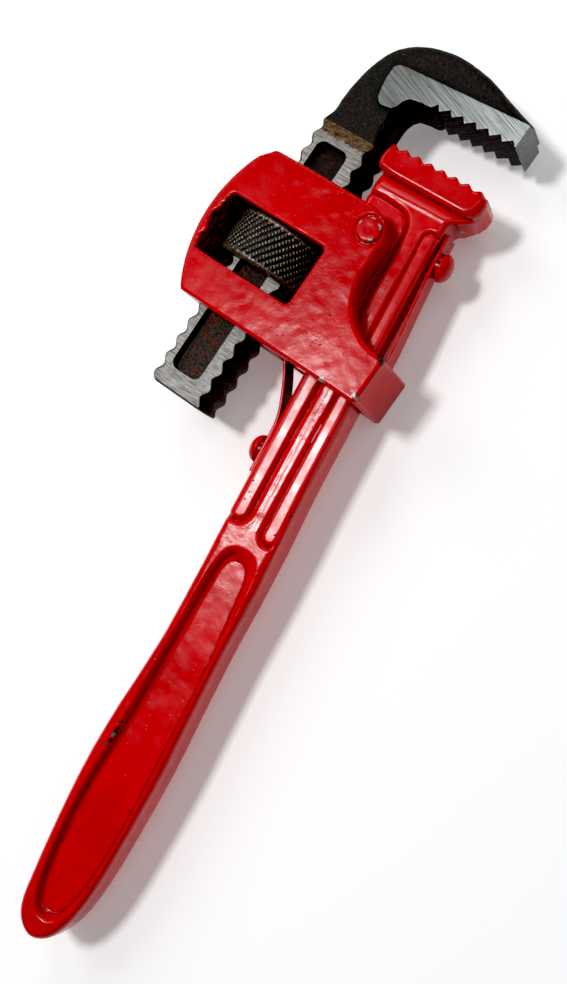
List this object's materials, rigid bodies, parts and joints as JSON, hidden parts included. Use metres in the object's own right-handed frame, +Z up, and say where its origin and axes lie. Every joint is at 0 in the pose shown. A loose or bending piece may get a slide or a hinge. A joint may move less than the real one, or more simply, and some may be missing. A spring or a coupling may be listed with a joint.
{
  "type": "pipe wrench",
  "caption": "Stillson-pattern pipe wrench with a red forged handle and housing, a hook jaw on a threaded shank, a knurled adjusting nut and two leaf springs, lying on its side.",
  "frame": {"origin": "the pivot rivet's axis on the housing's lower side face, which is the face the wrench lies on", "axes": "+Z up off the bench along the pivot's axis, +Y along the handle towards the jaws, +X to the side on which the jaws open"},
  "size_m": [0.0639, 0.2457, 0.0283],
  "materials": {
    "handle_paint": "gloss red enamel over a drop forging, chipped on the grip's rim",
    "housing_paint": "gloss red enamel over a rough casting, lightly scratched",
    "rivet_paint": "gloss red enamel, chipped to grey steel at the rims",
    "spring_paint": "gloss red enamel over spring steel",
    "jaw_steel": "dark forging scale with specks of rust, bright where the jaw faces and rails are ground",
    "nut_steel": "dark oiled steel, bright on the points of the knurling"
  },
  "bodies": {
    "handle": {"handle": "handle_paint", "front_spring": "spring_paint", "front_spring_rivet": "rivet_paint", "back_spring": "spring_paint", "back_spring_rivet": "rivet_paint"},
    "housing": {"housing": "housing_paint", "pivot_rivet": "rivet_paint"},
    "hook_jaw": {"hook_jaw": "jaw_steel"},
    "nut": {"adjusting_nut": "nut_steel"}
  },
  "joints": [
    {"name": "housing_pivot", "type": "hinge", "parent": "handle", "child": "housing", "pos_m": [0, 0, 0], "axis": [0, 0, 1], "range_deg": [-0.9, 2.5], "stiffness_Nm_per_rad": 1.5, "deforming": ["front_spring", "back_spring"]},
    {"name": "hook_slide", "type": "slide", "parent": "housing", "child": "hook_jaw", "axis": [0.108, 0.9942, 0], "range_m": [-0.011, 0.025]},
    {"name": "nut_spin", "type": "hinge", "parent": "housing", "child": "nut", "pos_m": [-0.02437, -0.01325, 0.01375], "axis": [0.108, 0.9942, 0], "range_deg": [-760, 1720]}
  ],
  "couplings": [
    {"joint": "nut_spin", "follows": "hook_slide", "rad_per_m": 1196.8}
  ]
}
